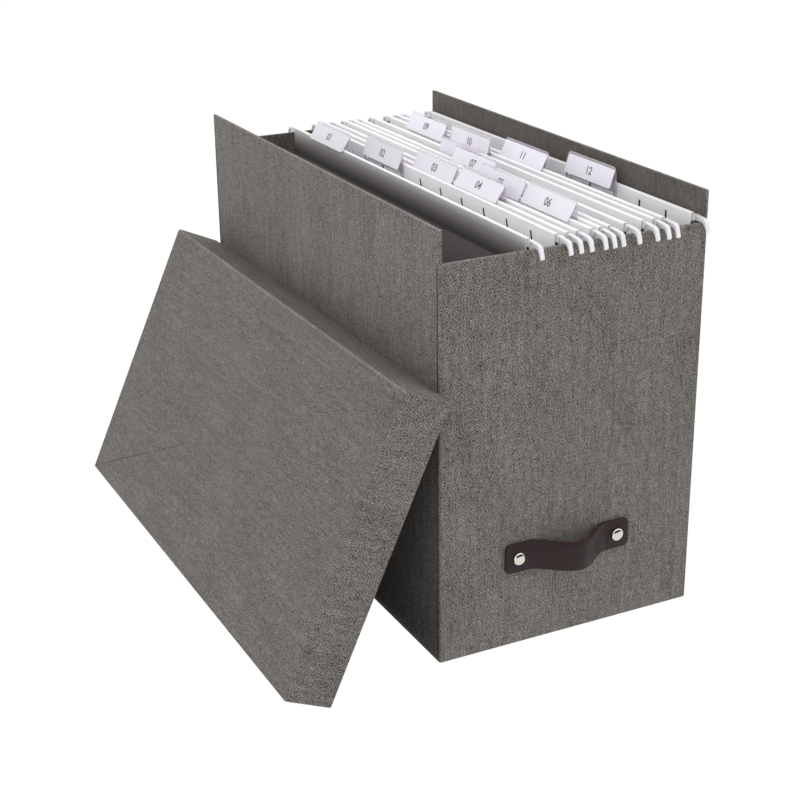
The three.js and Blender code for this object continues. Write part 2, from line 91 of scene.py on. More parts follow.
# Hanging files
RODS = [(-29.0, -10.0), (-3.0, 4.0), (13.5, 19.5), (25.5, 36.5), (49.0, 57.0), (63.3, 84.5)]  # X, by file
PANEL_LENGTH = 330.0
PANEL_TOP, CHANNEL_TOP, POCKET_BOTTOM, FLAP_END = 255.4, 254.9, 243.5, 240.0
CHANNEL_OUT, CHANNEL_IN = 1.4, 0.9
FOLD_CENTRE, FOLD_RADIUS, PAPER = 14.2, 2.0, 0.5
FOLD_ROUND = 0.85
SLIT_PITCH, SLIT_COUNT, SLIT_WIDTH = 28.0, 11, 1.8
SLIT_LOW, SLIT_HIGH = 241.0, 251.0
FIRST_SLIT_LEAN = 0.3  # along Y for each millimetre of height, in the first file

# Hanger rods, in Y and Z from the middle of the box to the tip of a hook
ROD_TOP, STRIP_BOTTOM, ARM_BOTTOM = 254.6, 250.2, 250.9
STRIP_HALF, ARM_SIDE = 0.6, 2.0  # in X: half the strip's thickness, and the arm's far side
WEB_FROM, WEB_TO = 0.5, 1.3  # the arm's web, between the recesses of its two sides
ARM_START = 166.5
HOOK = [(173.5, 250.9), (174.9, 250.6), (176.2, 249.2), (178.3, 246.1), (179.7, 246.0), (180.3, 247.1),
        (178.7, 251.8), (178.1, 252.8), (177.0, 253.5), (175.6, 253.9)]
RECESS = [(174.2, 248.5), (177.0, 243.0), (179.1, 243.0), (179.4, 246.0), (177.8, 251.4), (177.2, 252.1),
          (176.4, 252.6), (175.5, 252.9)]
RECESS_START, RECESS_LOW, RECESS_TOP = ARM_START + 1, 248.5, 253.6
ROD_ROUND = 0.18

# Labels: measured from the middle of the CAD label, up its slope
LABEL_UP, LABEL_DOWN, LABEL_HALF = 7.0, 5.4, 26.9
LABEL_CORNER = 1.4
LABEL_PAPER_THICKNESS = 0.2
INK_THICKNESS = 0.05
INK_MIDDLE = (LABEL_PAPER_THICKNESS + INK_THICKNESS) / 2 + 0.005
DIGIT_SIZE = 7.2
DIGIT_BOLD = 0.12
DIGIT_LIFT = 0.6  # middle of the digits above the middle of the CAD label

# Rivets
RIVET_X = 35.0
CAP_RADIUS, CAP_HEIGHT = 4.2, 2.3
CAP_RIM = CAP_HEIGHT * 0.26
CAP_STEPS = 12
SHANK_RADIUS, SHANK_LENGTH = 1.6, 5.6
CUP_RADIUS, CUP_HEIGHT = 4.5, 1.4
CUP_BORE, CUP_FLOOR = 2.0, 1.0
TURNED_STEPS = 48

# Canvas. A pattern is its noise scale per millimetre across and up, its detail and its share in the tone.
WEAVE_PATTERNS = {
    "upright": ((1.0, 0.11, 1), 2.0, 1.55),
    "across": ((0.14, 1.0, 1), 2.0, 1.3),
    "fibre": ((0.85, 0.6, 1), 3.0, 1.0),
    "slub": ((0.28, 0.018, 1), 1.0, 0.7),
}
CLOUD_SCALE, CLOUD_SHARE = (0.03, 0.02, 1), 0.2  # the same in every grain
CROSSING_SHARE, TONE_START = 1.1, 0.34
THREAD_PITCH = 0.95
THREAD_WANDER = 4.0  # of the threads from their straight course, in millimetres
WARP_WANDER_SCALE, WEFT_WANDER_SCALE = (0.4, 0.3, 1), (0.3, 0.45, 1)
CROSSING_RELIEF, UPRIGHT_RELIEF, FIBRE_RELIEF = 0.5, 0.8, 0.7

# Outer card of the first file: painted shade, as a gradient of sRGB tones over this height, in metres, from
# place 0 to 1
SHADE_GRADIENT_LOW, SHADE_GRADIENT_HIGH = 0.2300, 0.2560
SHADE_GRADIENT_ENDS = ((142, 135, 140), (240, 237, 239))
SHADE_GRADIENT_STOPS = ((0.24, (134, 127, 132)), (0.27, (92, 87, 90)), (0.36, (92, 88, 88)),
                  (0.55, (130, 125, 125)), (0.76, (172, 168, 168)))

# Studio, in metres. The camera's turn is its right, up and back directions.
WORLD_STRENGTH, FLOOR_GLOW = 1.19, 1.02
FLOOR_HALF, FLOOR_Z = 8, -0.0004
SHADE_X, SHADE_Y, SHADE_Z = (-0.165, -0.092), (-0.230, 0.175), -0.0002
MIRRORED_X, MIRRORED_Y, MIRRORED_Z = (-0.6, 1.8), -1.3, (0.02, 0.7)
SENSOR_WIDTH = 36.0
FOCAL_SHARE = 1619.0 / 800.0  # focal length over the picture's width
CAMERA_PLACE = (-0.48637, -0.92048, 0.51086)
CAMERA_TURN = ((0.89347, -0.449, -0.01044), (0.17583, 0.32831, 0.92806), (-0.41328, -0.83103, 0.37229))


# ---------------------------------------------------------------- nodes and materials

class Tree:
    """Short calls to build a material's node tree."""

    def __init__(self, name):
        self.material = bpy.data.materials.new(name)
        self.material.use_nodes = True
        self.nodes = self.material.node_tree.nodes
        self.links = self.material.node_tree.links
        self.shader = self.nodes["Principled BSDF"]

    def put(self, socket, value):
        if isinstance(value, bpy.types.NodeSocket):
            self.links.new(value, socket)
        else:
            socket.default_value = value

    def add(self, kind, inputs=None, output=0, **settings):
        node = self.nodes.new(kind)
        for name, value in settings.items():
            setattr(node, name, value)
        for key, value in (inputs or {}).items():
            self.put(node.inputs[key], value)
        return node.outputs[output]

    def math(self, operation, a, b=0.0, clamp=False):
        return self.add("ShaderNodeMath", {0: a, 1: b}, operation=operation, use_clamp=clamp)

    def coords(self, *scale):
        """The object's own coordinates, scaled by one number or by three."""
        place = self.add("ShaderNodeTexCoord", output="Object")
        return self.add("ShaderNodeMapping", {"Vector": place, "Scale": scale * (3 // len(scale))})

    def split(self, vector):
        """The X, Y and Z sockets of a vector."""
        node = self.nodes.new("ShaderNodeSeparateXYZ")
        self.put(node.inputs[0], vector)
        return node.outputs

    def noise(self, vector, detail=2.0, roughness=0.5):
        return self.add("ShaderNodeTexNoise", {
            "Vector": vector, "Scale": 1.0, "Detail": detail, "Roughness": roughness,
        })

    def spread(self, value, low, high, to_low=0.0, to_high=1.0):
        return self.add("ShaderNodeMapRange", {
            "Value": value, "From Min": low, "From Max": high, "To Min": to_low, "To Max": to_high,
        })

    def mix(self, factor, a, b):
        """The colour between a and b. The mix node's colour sockets are 6 and 7, and its result is 2."""
        return self.add("ShaderNodeMix", {0: factor, 6: a, 7: b}, output=2, data_type="RGBA",
                        clamp_factor=True)

    def bump(self, height, distance, strength=1.0):
        normal = self.add("ShaderNodeBump", {"Height": height, "Distance": distance, "Strength": strength})
        self.links.new(normal, self.shader.inputs["Normal"])

    def surface(self, **values):
        for name, value in values.items():
            self.put(self.shader.inputs[name.replace("_", " ")], value)
        return self.material


def rgb(red, green, blue):
    """Linear colour of an sRGB one given in 0 to 255."""
    def linear(value):
        value /= 255
        return value / 12.92 if value <= 0.04045 else ((value + 0.055) / 1.055) ** 2.4
    return (linear(red), linear(green), linear(blue), 1.0)


def canvas(name, dark, light, grain):
    """Plain weave over the "weave" UV map, whose unit is a millimetre: light weft over dark warp."""
    tree = Tree(name)
    uv = tree.add("ShaderNodeUVMap", uv_map="weave")
    uv_axes = tree.split(uv)

    def along(scale, detail=2.0):
        """Noise about zero over the map."""
        stretched = tree.add("ShaderNodeMapping", {"Vector": uv, "Scale": scale})
        return tree.math("SUBTRACT", tree.noise(stretched, detail=detail), 0.5)

    def threads(axis, wander_scale):
        wander = tree.math("MULTIPLY", along(wander_scale), THREAD_WANDER)
        place = tree.math("ADD", uv_axes[axis], wander)
        return tree.math("SINE", tree.math("MULTIPLY", place, math.pi / THREAD_PITCH))

    crossing = tree.math("MULTIPLY", threads(0, WARP_WANDER_SCALE), threads(1, WEFT_WANDER_SCALE))
    patterns = {key: along(scale, detail) for key, (scale, detail, _) in WEAVE_PATTERNS.items()}
    tone = tree.math("MULTIPLY", crossing, CROSSING_SHARE * grain)
    for key, (_, _, share) in WEAVE_PATTERNS.items():
        tone = tree.math("ADD", tone, tree.math("MULTIPLY", patterns[key], share * grain))
    tone = tree.math("ADD", tone, tree.math("MULTIPLY", along(CLOUD_SCALE), CLOUD_SHARE))
    colour = tree.mix(tree.math("ADD", tone, TONE_START, clamp=True), dark, light)
    height = tree.math("ADD", tree.math("MULTIPLY", crossing, CROSSING_RELIEF),
                       tree.math("MULTIPLY", patterns["upright"], UPRIGHT_RELIEF))
    height = tree.math("ADD", height, tree.math("MULTIPLY", patterns["fibre"], FIBRE_RELIEF))
    tree.bump(height, 0.0002, 0.4 * grain)
    return tree.surface(Base_Color=colour, Roughness=0.92, Specular_IOR_Level=0.15, Sheen_Weight=0.06,
                        Sheen_Roughness=0.5)


def lining_paper():
    tree = Tree("lining_paper")
    grain = tree.noise(tree.coords(420), detail=3)
    colour = tree.mix(grain, rgb(58, 53, 57), rgb(76, 70, 75))
    tree.bump(grain, 0.00005, 0.4)
    return tree.surface(Base_Color=colour, Roughness=0.7, Specular_IOR_Level=0.3)


def leather():
    tree = Tree("leather")
    pores = tree.add("ShaderNodeTexVoronoi", {"Vector": tree.coords(1500), "Scale": 1.0})
    grain = tree.noise(tree.coords(260), detail=4, roughness=0.6)
    stretch = tree.noise(tree.coords(40, 40, 300), detail=2)
    shade = tree.math("MULTIPLY", tree.math("ADD", grain, stretch), 0.5)
    colour = tree.mix(tree.spread(shade, 0.3, 0.7), rgb(36, 24, 24), rgb(46, 32, 32))
    height = tree.math("ADD", tree.math("MULTIPLY", pores, 0.5), grain)
    tree.bump(height, 0.00008, 0.45)
    return tree.surface(Base_Color=colour, Roughness=tree.spread(grain, 0.3, 0.7, 0.42, 0.56),
                        Specular_IOR_Level=0.22)


def raw_edge():
    tree = Tree("leather_edge")
    fibres = tree.noise(tree.coords(300, 300, 1600), detail=4, roughness=0.7)
    colour = tree.mix(tree.spread(fibres, 0.3, 0.7), rgb(42, 26, 24), rgb(76, 50, 44))
    tree.bump(fibres, 0.00012, 0.6)
    return tree.surface(Base_Color=colour, Roughness=0.8, Specular_IOR_Level=0.25)


def nickel():
    tree = Tree("nickel")
    scratch = tree.noise(tree.coords(2600, 2600, 300), detail=2)
    colour = tree.mix(scratch, (0.6, 0.55, 0.49, 1), (0.76, 0.72, 0.66, 1))
    tree.bump(scratch, 0.00001, 0.3)
    return tree.surface(Base_Color=colour, Metallic=1.0, Roughness=tree.spread(scratch, 0.3, 0.7, 0.08, 0.2))


def card(name, dark, light):
    tree = Tree(name)
    fibre = tree.noise(tree.coords(700, 240, 700), detail=4, roughness=0.65)
    cloud = tree.noise(tree.coords(30, 12, 30), detail=2)
    shade = tree.math("ADD", tree.math("MULTIPLY", fibre, 0.5), tree.math("MULTIPLY", cloud, 0.5))
    tree.bump(fibre, 0.00003, 0.35)
    return tree.surface(Base_Color=tree.mix(tree.spread(shade, 0.35, 0.65), dark, light), Roughness=0.55,
                        Specular_IOR_Level=0.35)


def painted_shade_outer_card():
    """The first file's outer face, with painted shade: white at the fold, darker grey down to the flap's
    edge, then mid grey.
    """
    tree = Tree("painted_shade_outer_card")
    place = tree.split(tree.add("ShaderNodeTexCoord", output="Object"))
    fibre = tree.noise(tree.coords(700, 240, 700), detail=4)
    waver = tree.math("MULTIPLY", tree.math("SUBTRACT", fibre, 0.5), 0.0008)
    height = tree.math("ADD", place[2], waver)
    ramp = tree.nodes.new("ShaderNodeValToRGB")
    tree.put(ramp.inputs[0], tree.spread(height, SHADE_GRADIENT_LOW, SHADE_GRADIENT_HIGH))
    stops = ramp.color_ramp.elements
    for stop, tone in zip(stops, SHADE_GRADIENT_ENDS):
        stop.color = rgb(*tone)
    for share, tone in SHADE_GRADIENT_STOPS:
        stops.new(share).color = rgb(*tone)
    tree.bump(fibre, 0.00003, 0.35)
    return tree.surface(Base_Color=ramp.outputs[0], Roughness=0.5, Specular_IOR_Level=0.35)


def white_plastic():
    tree = Tree("white_plastic")
    mottle = tree.noise(tree.coords(500), detail=2)
    tree.bump(mottle, 0.00002, 0.3)
    return tree.surface(Base_Color=tree.mix(mottle, rgb(218, 217, 221), rgb(234, 233, 236)),
                        Roughness=tree.spread(mottle, 0.3, 0.7, 0.28, 0.4), Subsurface_Weight=0.08,
                        Subsurface_Radius=(0.002, 0.002, 0.002))


def glossy_film():
    """The clear plastic in front of a label: hardly there but for its gloss."""
    tree = Tree("glossy_film")
    ripple = tree.noise(tree.coords(160, 60, 160), detail=2)
    tree.bump(ripple, 0.00003, 0.3)
    return tree.surface(Base_Color=tree.mix(ripple, rgb(240, 237, 246), rgb(250, 248, 252)), Roughness=0.15,
                        Alpha=0.06, Specular_IOR_Level=0.6)


def clear_plastic():
    tree = Tree("clear_plastic")
    ribs = tree.add("ShaderNodeTexWave", {"Vector": tree.coords(1), "Scale": 190.0, "Distortion": 0.3},
                    output="Fac", bands_direction="Y")
    tree.bump(ribs, 0.00005, 0.4)
    colour = tree.mix(ribs, rgb(224, 216, 230), rgb(242, 238, 247))
    return tree.surface(Base_Color=colour, Roughness=0.12, Alpha=tree.spread(ribs, 0.0, 1.0, 0.46, 0.3),
                        Specular_IOR_Level=0.6)


def label_paper():
    tree = Tree("label_paper")
    fibre = tree.noise(tree.coords(900), detail=3)
    tree.bump(fibre, 0.00002, 0.3)
    return tree.surface(Base_Color=tree.mix(fibre, rgb(236, 233, 242), rgb(244, 242, 249)), Roughness=0.6,
                        Specular_IOR_Level=0.3)


def ink():
    tree = Tree("ink")
    speckle = tree.noise(tree.coords(3000), detail=2)
    return tree.surface(Base_Color=tree.mix(speckle, rgb(48, 46, 52), rgb(82, 78, 86)), Roughness=0.7)


# The pieces' materials
CANVAS = canvas("canvas", rgb(54, 51, 48), rgb(158, 153, 147), grain=0.37)
LID_CANVAS = canvas("lid_canvas", rgb(61, 57, 54), rgb(148, 143, 137), grain=0.36)
# Lighter canvas on the rounded rims and edges: wear, and a painted highlight where they catch the light.
EDGE_WEAR_AND_HIGHLIGHT_CANVAS = canvas("canvas_edge_wear_and_painted_highlight", rgb(76, 72, 69), rgb(172, 167, 161), grain=0.36)
# A darker copy of the canvas for the inner faces: painted shade.
INNER_SHADE_CANVAS = canvas("turned_in_canvas_painted_shade", rgb(54, 51, 48), rgb(142, 137, 130), grain=0.3)
# Dark canvas in the corner seam grooves: painted shadow.
FOLD_SHADOW = card("canvas_fold_painted_shadow", rgb(52, 49, 45), rgb(74, 70, 66))
LINING = lining_paper()
LEATHER, RAW_EDGE, NICKEL = leather(), raw_edge(), nickel()
CARD = card("card", rgb(240, 238, 240), rgb(250, 249, 250))
# Dark card in the channels and slits: painted shade, where little light reaches.
CHANNEL_SHADE_CARD = card("channel_painted_shade", rgb(66, 62, 62), rgb(84, 80, 80))
# The first file's outer card paints shade as a gradient down its face.
SHADED_OUTER_CARD, WHITE_PLASTIC = painted_shade_outer_card(), white_plastic()
CLEAR_PLASTIC, GLOSSY_FILM, LABEL_PAPER, INK = clear_plastic(), glossy_film(), label_paper(), ink()


# ---------------------------------------------------------------- mesh helpers

def new_object(name, bm, materials, smooth=True):
    """An object in the scene from a closed bmesh, whose faces are all made to look outwards."""
    mesh = bpy.data.meshes.new(name)
    bmesh.ops.recalc_face_normals(bm, faces=bm.faces)
    bm.to_mesh(mesh)
    bm.free()
    for material in materials:
        mesh.materials.append(material)
    if smooth:
        mesh.shade_smooth()
    obj = bpy.data.objects.new(name, mesh)
    bpy.context.scene.collection.objects.link(obj)
    return obj


def block(low, high):
    """A box as a bmesh, its corners in millimetres."""
    bm = bmesh.new()
    size = Vector(high) - Vector(low)
    middle = (Vector(high) + Vector(low)) / 2
    matrix = Matrix.Translation(middle * MM) @ Matrix.Diagonal((*(size * MM), 1.0))
    bmesh.ops.create_cube(bm, size=1.0, matrix=matrix)
    return bm


def rounded_block(low, high, upright, base):
    """A box with rounded upright edges and rounded edges round its underside."""
    bm = block(low, high)
    low_z = low[2] * MM

    def rounded(edges, radius):
        bmesh.ops.bevel(bm, geom=edges, offset=radius * MM, segments=ROUND_SEGMENTS, affect="EDGES",
                        profile=0.5)

    rounded([e for e in bm.edges if abs(e.verts[0].co.z - e.verts[1].co.z) > SAME], upright)
    rounded([e for e in bm.edges if all(abs(v.co.z - low_z) < SAME for v in e.verts)], base)
    return bm


def modifier(obj, kind, **settings):
    added = obj.modifiers.new(kind.lower(), kind)
    for name, value in settings.items():
        setattr(added, name, value)


def evaluated_mesh(obj):
    """A new mesh of the object as its modifiers, or its text, make it."""
    return bpy.data.meshes.new_from_object(obj.evaluated_get(bpy.context.evaluated_depsgraph_get()))


def bake_modifiers(obj):
    mesh = evaluated_mesh(obj)
    obj.modifiers.clear()
    obj.data = mesh


@contextmanager
def edited(obj):
    """The object's mesh as a bmesh, written back at the end."""
    bm = bmesh.new()
    bm.from_mesh(obj.data)
    yield bm
    bm.to_mesh(obj.data)
    bm.free()


def cut(obj, *cutters):
    """Cuts the cutters, given as bmeshes, out of obj, and joins the flat faces that are left in pieces."""
    tools = []
    for bm in cutters:
        tool = new_object("cutter", bm, [], smooth=False)
        modifier(obj, "BOOLEAN", operation="DIFFERENCE", solver="EXACT", object=tool)
        tools.append(tool)
    bake_modifiers(obj)
    for tool in tools:
        bpy.data.objects.remove(tool)
    with edited(obj) as bm:
        bmesh.ops.dissolve_limit(bm, angle_limit=math.radians(0.5), verts=bm.verts, edges=bm.edges,
                                 delimit={"MATERIAL"})


def round_edges(obj, width, segments=3):
    modifier(obj, "BEVEL", width=width * MM, segments=segments, limit_method="ANGLE",
             angle_limit=math.radians(35), harden_normals=False)
    bake_modifiers(obj)


def split_faces(obj, x, y):
    """Splits the faces along planes at plus and minus x and y millimetres, so that none is a sliver."""
    with edited(obj) as bm:
        for place in ((x, 0, 0), (-x, 0, 0), (0, y, 0), (0, -y, 0)):
            bmesh.ops.bisect_plane(bm, geom=[*bm.verts, *bm.edges, *bm.faces], plane_co=Vector(place) * MM,
                                   plane_no=[abs(value) for value in Vector(place).normalized()])


def paint(mesh, face, material):
    """Gives the face one of its mesh's materials."""
    face.material_index = mesh.materials.find(material.name)


def weave_uv(mesh, unfold, pick_material):
    """Lays the canvas's millimetre grid, and a material, on each face.

    unfold gives the function that places a face's points on the grid.
    """
    layer = mesh.uv_layers.new(name="weave")
    for face in mesh.polygons:
        place = unfold(face)
        for loop in face.loop_indices:
            layer.data[loop].uv = place(mesh.vertices[mesh.loops[loop].vertex_index].co / MM)
        paint(mesh, face, pick_material(face))


def flat_grid(face):
    """Places the points of a face by the two axes that it lies along most."""
    axis = max(range(3), key=lambda i: abs(face.normal[i]))
    first, second = ((1, 2), (0, 2), (0, 1))[axis]
    apart = 300 * axis  # so that two faces at an angle don't show the same threads
    return lambda point: (point[first] + apart, point[second] + apart)


def sharpen(obj, angle=40):
    """Smooth shading, with flat faces kept flat beside tight rounds."""
    modifier(obj, "WEIGHTED_NORMAL", keep_sharp=True, weight=100)
    obj.data.set_sharp_from_angle(angle=math.radians(angle))


def settle(obj, node):
    """Lets the piece ride on the one body, and stand for its CAD node."""
    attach(obj, "root")
    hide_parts(node)


def lathe(profile, name, material, at):
    """Turned piece about Y. The profile is radius and y, in millimetres, and at is its place."""
    bm = bmesh.new()
    rings = []
    for radius, y in profile:
        if radius < SAME:
            rings.append([bm.verts.new((at[0] * MM, (at[1] + y) * MM, at[2] * MM))])
            continue
        ring = []
        for i in range(TURNED_STEPS):
            angle = 2 * math.pi * i / TURNED_STEPS
            ring.append(bm.verts.new(((at[0] + radius * math.cos(angle)) * MM, (at[1] + y) * MM,
                                      (at[2] + radius * math.sin(angle)) * MM)))
        rings.append(ring)
    for one, two in zip(rings, rings[1:]):
        for i in range(TURNED_STEPS):
            j = (i + 1) % TURNED_STEPS
            corners = [one[i % len(one)], one[j % len(one)], two[j % len(two)], two[i % len(two)]]
            corners = list(dict.fromkeys(corners))
            if len(corners) > 2:
                bm.faces.new(corners)
    return new_object(name, bm, [material])


# ---------------------------------------------------------------- box body and lid

def turned_in(face):
    """Cloth outside; a darker copy of the cloth on the inner faces, as painted shade; lighter cloth on the
    rims, for wear and a painted highlight; and painted shadow in the seams.
    """
    middle = face.center / MM
    gap_x, gap_y = HALF_X - abs(middle.x), HALF_Y - abs(middle.y)
    if min(gap_x, gap_y) > BOARD - WALL_TOUCH and middle.z > BOARD - 0.5:
        return INNER_SHADE_CANVAS
    in_seam = (abs(gap_y - BOARD) < FOLD_SEAM_WIDTH / 2 + 0.01 and 0.05 < gap_x < FOLD_SEAM_DEPTH + 0.01
               and BASE_RADIUS < middle.z < END_HEIGHT)
    if in_seam:
        return FOLD_SHADOW
    on_rim = END_HEIGHT - RIM_ROUND < middle.z < END_HEIGHT + 0.1 or middle.z > SIDE_HEIGHT - RIM_ROUND
    return EDGE_WEAR_AND_HIGHLIGHT_CANVAS if on_rim and face.normal.z > 0.2 else CANVAS


def wall_strip(face):
    """Places the walls' points along one strip of cloth that runs round the box and over its rims."""
    middle = face.center / MM
    gap_x, gap_y = HALF_X - abs(middle.x), HALF_Y - abs(middle.y)
    if min(gap_x, gap_y) > BOARD - 0.3:
        return flat_grid(face)
    side_x, side_y = math.copysign(1, middle.x), math.copysign(1, middle.y)
    over = 1 if middle.z > SIDE_HEIGHT / 2 else -1
    # The strip's two ends meet at the far left corner, so there each wall keeps its own grid.
    in_corner = max(gap_x, gap_y) < CORNER_RADIUS and not side_x < 0 < side_y

    def place(point):
        from_x, from_y = HALF_X - side_x * point.x, HALF_Y - side_y * point.y
        if in_corner:
            along = from_y - from_x
            return (side_x * (HALF_X + (along if side_y < 0 else BOX_LENGTH - along)), point.z)
        if gap_x < gap_y:
            return (side_x * (HALF_X + HALF_Y + point.y), point.z + over * from_x)
        return (point.x if side_y < 0 else BOX_LENGTH + BOX_WIDTH - point.x, point.z + over * from_y)

    return place


def box_body():
    outer = rounded_block((-HALF_X, -HALF_Y, 0), (HALF_X, HALF_Y, SIDE_HEIGHT), CORNER_RADIUS, BASE_RADIUS)
    body = new_object("canvas_body", outer, [CANVAS, INNER_SHADE_CANVAS, FOLD_SHADOW, EDGE_WEAR_AND_HIGHLIGHT_CANVAS])
    inner_x, inner_y = HALF_X - BOARD, HALF_Y - BOARD
    above = SIDE_HEIGHT + PAST
    cut(body, block((-inner_x, -inner_y, BOARD), (inner_x, inner_y, above)),
        block((-inner_x, -HALF_Y - PAST, END_HEIGHT), (inner_x, HALF_Y + PAST, above)))
    round_edges(body, RIM_ROUND)
    deep, half = FOLD_SEAM_DEPTH, FOLD_SEAM_WIDTH / 2
    cut(body, *(block((x - deep, y - half, BASE_RADIUS), (x + deep, y + half, END_HEIGHT))
                for x in (-HALF_X, HALF_X) for y in (-inner_y, inner_y)))
    weave_uv(body.data, wall_strip, turned_in)
    sharpen(body)
    settle(body, "box_body")


def lining():
    """A paper liner that the solids don't have, so it stands for no node."""
    floor = BOARD + LINING_GAP
    x, y = HALF_X - floor, HALF_Y - floor
    sheet = new_object("lining", block((-x, -y, floor), (x, y, LINING_TOP)), [LINING])
    inner_x, inner_y = x - LINING_PAPER, y - LINING_PAPER
    cut(sheet, block((-inner_x, -inner_y, floor + LINING_PAPER), (inner_x, inner_y, LINING_TOP + PAST)))
    sheet.data.set_sharp_from_angle(angle=math.radians(30))
    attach(sheet, "root")


def lid():
    half_x, half_y = LID_WIDTH / 2, LID_LENGTH / 2
    outer = rounded_block((-half_x, -half_y, 0), (half_x, half_y, LID_DEPTH), CORNER_RADIUS, LID_EDGE_RADIUS)
    tray = new_object("canvas_lid", outer, [CANVAS, LINING, LID_CANVAS, EDGE_WEAR_AND_HIGHLIGHT_CANVAS])
    inner_x, inner_y = half_x - BOARD, half_y - BOARD
    cut(tray, block((-inner_x, -inner_y, BOARD), (inner_x, inner_y, LID_DEPTH + PAST)))
    round_edges(tray, RIM_ROUND)

    def lined(face):
        """Lining on the tray's floor and low on its walls, and lighter cloth on the rounds of the long edges,
        for wear and a painted highlight.
        """
        middle = face.center / MM
        within = abs(middle.x) < inner_x + WALL_TOUCH and abs(middle.y) < inner_y + WALL_TOUCH
        if within and BOARD / 2 < middle.z < LID_DEPTH - LID_TURNED_IN:
            return LINING
        slants = 0.25 < abs(face.normal.x) < 0.985  # between the face's direction and the side's
        if middle.z < LID_EDGE_RADIUS and slants:
            return EDGE_WEAR_AND_HIGHLIGHT_CANVAS
        return LID_CANVAS if middle.z < 0.3 else CANVAS

    def hinged(face):
        """Places the tray's sides as if they were folded flat round its face."""
        middle = face.center / MM
        gap_x, gap_y = half_x - abs(middle.x), half_y - abs(middle.y)
        side_x, side_y = math.copysign(1, middle.x), math.copysign(1, middle.y)
        if min(gap_x, gap_y) > BOARD - 0.3:
            return (lambda point: (point.x, point.y)) if middle.z < BOARD / 2 else flat_grid(face)
        if gap_x < gap_y:
            return lambda point: (point.x + side_x * point.z, point.y)
        return lambda point: (point.x, point.y + side_y * point.z)

    split_faces(tray, half_x - LID_SPLIT_INSET, half_y - LID_SPLIT_INSET)
    weave_uv(tray.data, hinged, lined)
    sharpen(tray)
    # The tray is turned over, stands on its long rim and leans on the side wall.
    turn_over = Matrix.Translation((half_x * MM, 0, LID_DEPTH * MM)) @ Matrix.Rotation(math.pi, 4, "X")
    foot = (-HALF_X - LID_SEAT - LID_WIDTH * math.cos(LID_LEAN), LID_SHIFT, 0)
    lean = Matrix.Translation(Vector(foot) * MM) @ Matrix.Rotation(-LID_LEAN, 4, "Y")
    tray.matrix_world = lean @ turn_over
    settle(tray, "lid")


# ---------------------------------------------------------------- leather pull

def strap_bow(x):
    """How far the strap's back stands out, x millimetres from its middle."""
    half = STRAP_LOOP / 2
    return STRAP_REACH / 2 * (1 + math.cos(math.pi * x / half)) if abs(x) < half else 0.0


def strap():
    """Rounded section carried along the bow, drawn in at its rounded ends."""
    half = STRAP_LENGTH / 2
    stations = []
    for i in range(STRAP_STEPS + 1):
        crowded = -half * math.cos(math.pi * i / STRAP_STEPS)
        stations.append(crowded * (1 - STRAP_EVEN) + STRAP_EVEN * half * (2 * i / STRAP_STEPS - 1))
    bm = bmesh.new()
    rings = []
    for x in stations:
        step = 0.01
        slope = (strap_bow(x + step) - strap_bow(x - step)) / (2 * step)
        out = Vector((-slope, -1, 0)) / math.hypot(1, slope)
        inset = max(0.0, STRAP_END_RADIUS - (half - abs(x)))
        width = STRAP_WIDTH / 2 - STRAP_END_RADIUS + math.sqrt(max(0.0, STRAP_END_RADIUS ** 2 - inset ** 2))
        back = Vector((STRAP_SHIFT + x, STRAP_BACK - strap_bow(x), STRAP_MIDDLE))
        centre = back + out * STRAP_THICKNESS / 2
        r = STRAP_EDGE_ROUND
        reach_w, reach_t = width - r, STRAP_THICKNESS / 2 - r
        ring = []
        for corner, (sign_w, sign_t) in enumerate(((1, 1), (-1, 1), (-1, -1), (1, -1))):
            for k in range(STRAP_CORNER_STEPS + 1):
                angle = math.pi / 2 * (corner + k / STRAP_CORNER_STEPS)
                across = sign_w * reach_w + r * math.cos(angle)
                outward = sign_t * reach_t + r * math.sin(angle)
                ring.append(bm.verts.new((centre + Vector((0, 0, across)) + out * outward) * MM))
        rings.append(ring)
    count = len(rings[0])
    for one, two in zip(rings, rings[1:]):
        for i in range(count):
            j = (i + 1) % count
            face = bm.faces.new((one[i], one[j], two[j], two[i]))
            face.material_index = 1 if i in STRAP_RAW else 0
    for ring in (rings[0], rings[-1]):
        bm.faces.new(ring).material_index = 1
    band = new_object("leather_pull", bm, [LEATHER, RAW_EDGE])
    settle(band, "strap_handle")


def rivets():
    """Domed caps with their shanks outside, and cups inside. A profile is radius and depth."""
    dome = [(0.0, -CAP_HEIGHT)]
    for i in range(1, CAP_STEPS + 1):
        angle = math.pi / 2 * i / CAP_STEPS
        dome.append((CAP_RADIUS * math.sin(angle), -CAP_RIM - (CAP_HEIGHT - CAP_RIM) * math.cos(angle)))
    dome += [(CAP_RADIUS, -0.15), (CAP_RADIUS - 0.15, 0.0), (SHANK_RADIUS, 0.0), (SHANK_RADIUS, SHANK_LENGTH),
             (0.0, SHANK_LENGTH)]
    cup = [(CUP_BORE, 0.0), (CUP_RADIUS - 0.2, 0.0), (CUP_RADIUS, 0.2), (CUP_RADIUS - 0.15, 0.7),
           (CUP_RADIUS - 0.6, CUP_HEIGHT - 0.15), (CUP_RADIUS - 0.85, CUP_HEIGHT), (0.0, CUP_HEIGHT),
           (0.0, CUP_FLOOR), (CUP_BORE, CUP_FLOOR), (CUP_BORE, 0.0)]
    cap_y = STRAP_BACK - STRAP_THICKNESS - SEAT_GAP
    cup_y = -HALF_Y + BOARD + SEAT_GAP
    for side, x in (("left", STRAP_SHIFT - RIVET_X), ("right", STRAP_SHIFT + RIVET_X)):
        for profile, name, y, node in ((dome, "nickel_cap_", cap_y, "rivet_"),
                                       (cup, "nickel_cup_", cup_y, "rivet_back_")):
            piece = lathe(profile, name + side, NICKEL, (x, y, STRAP_MIDDLE))
            sharpen(piece, 50)
            settle(piece, node + side)


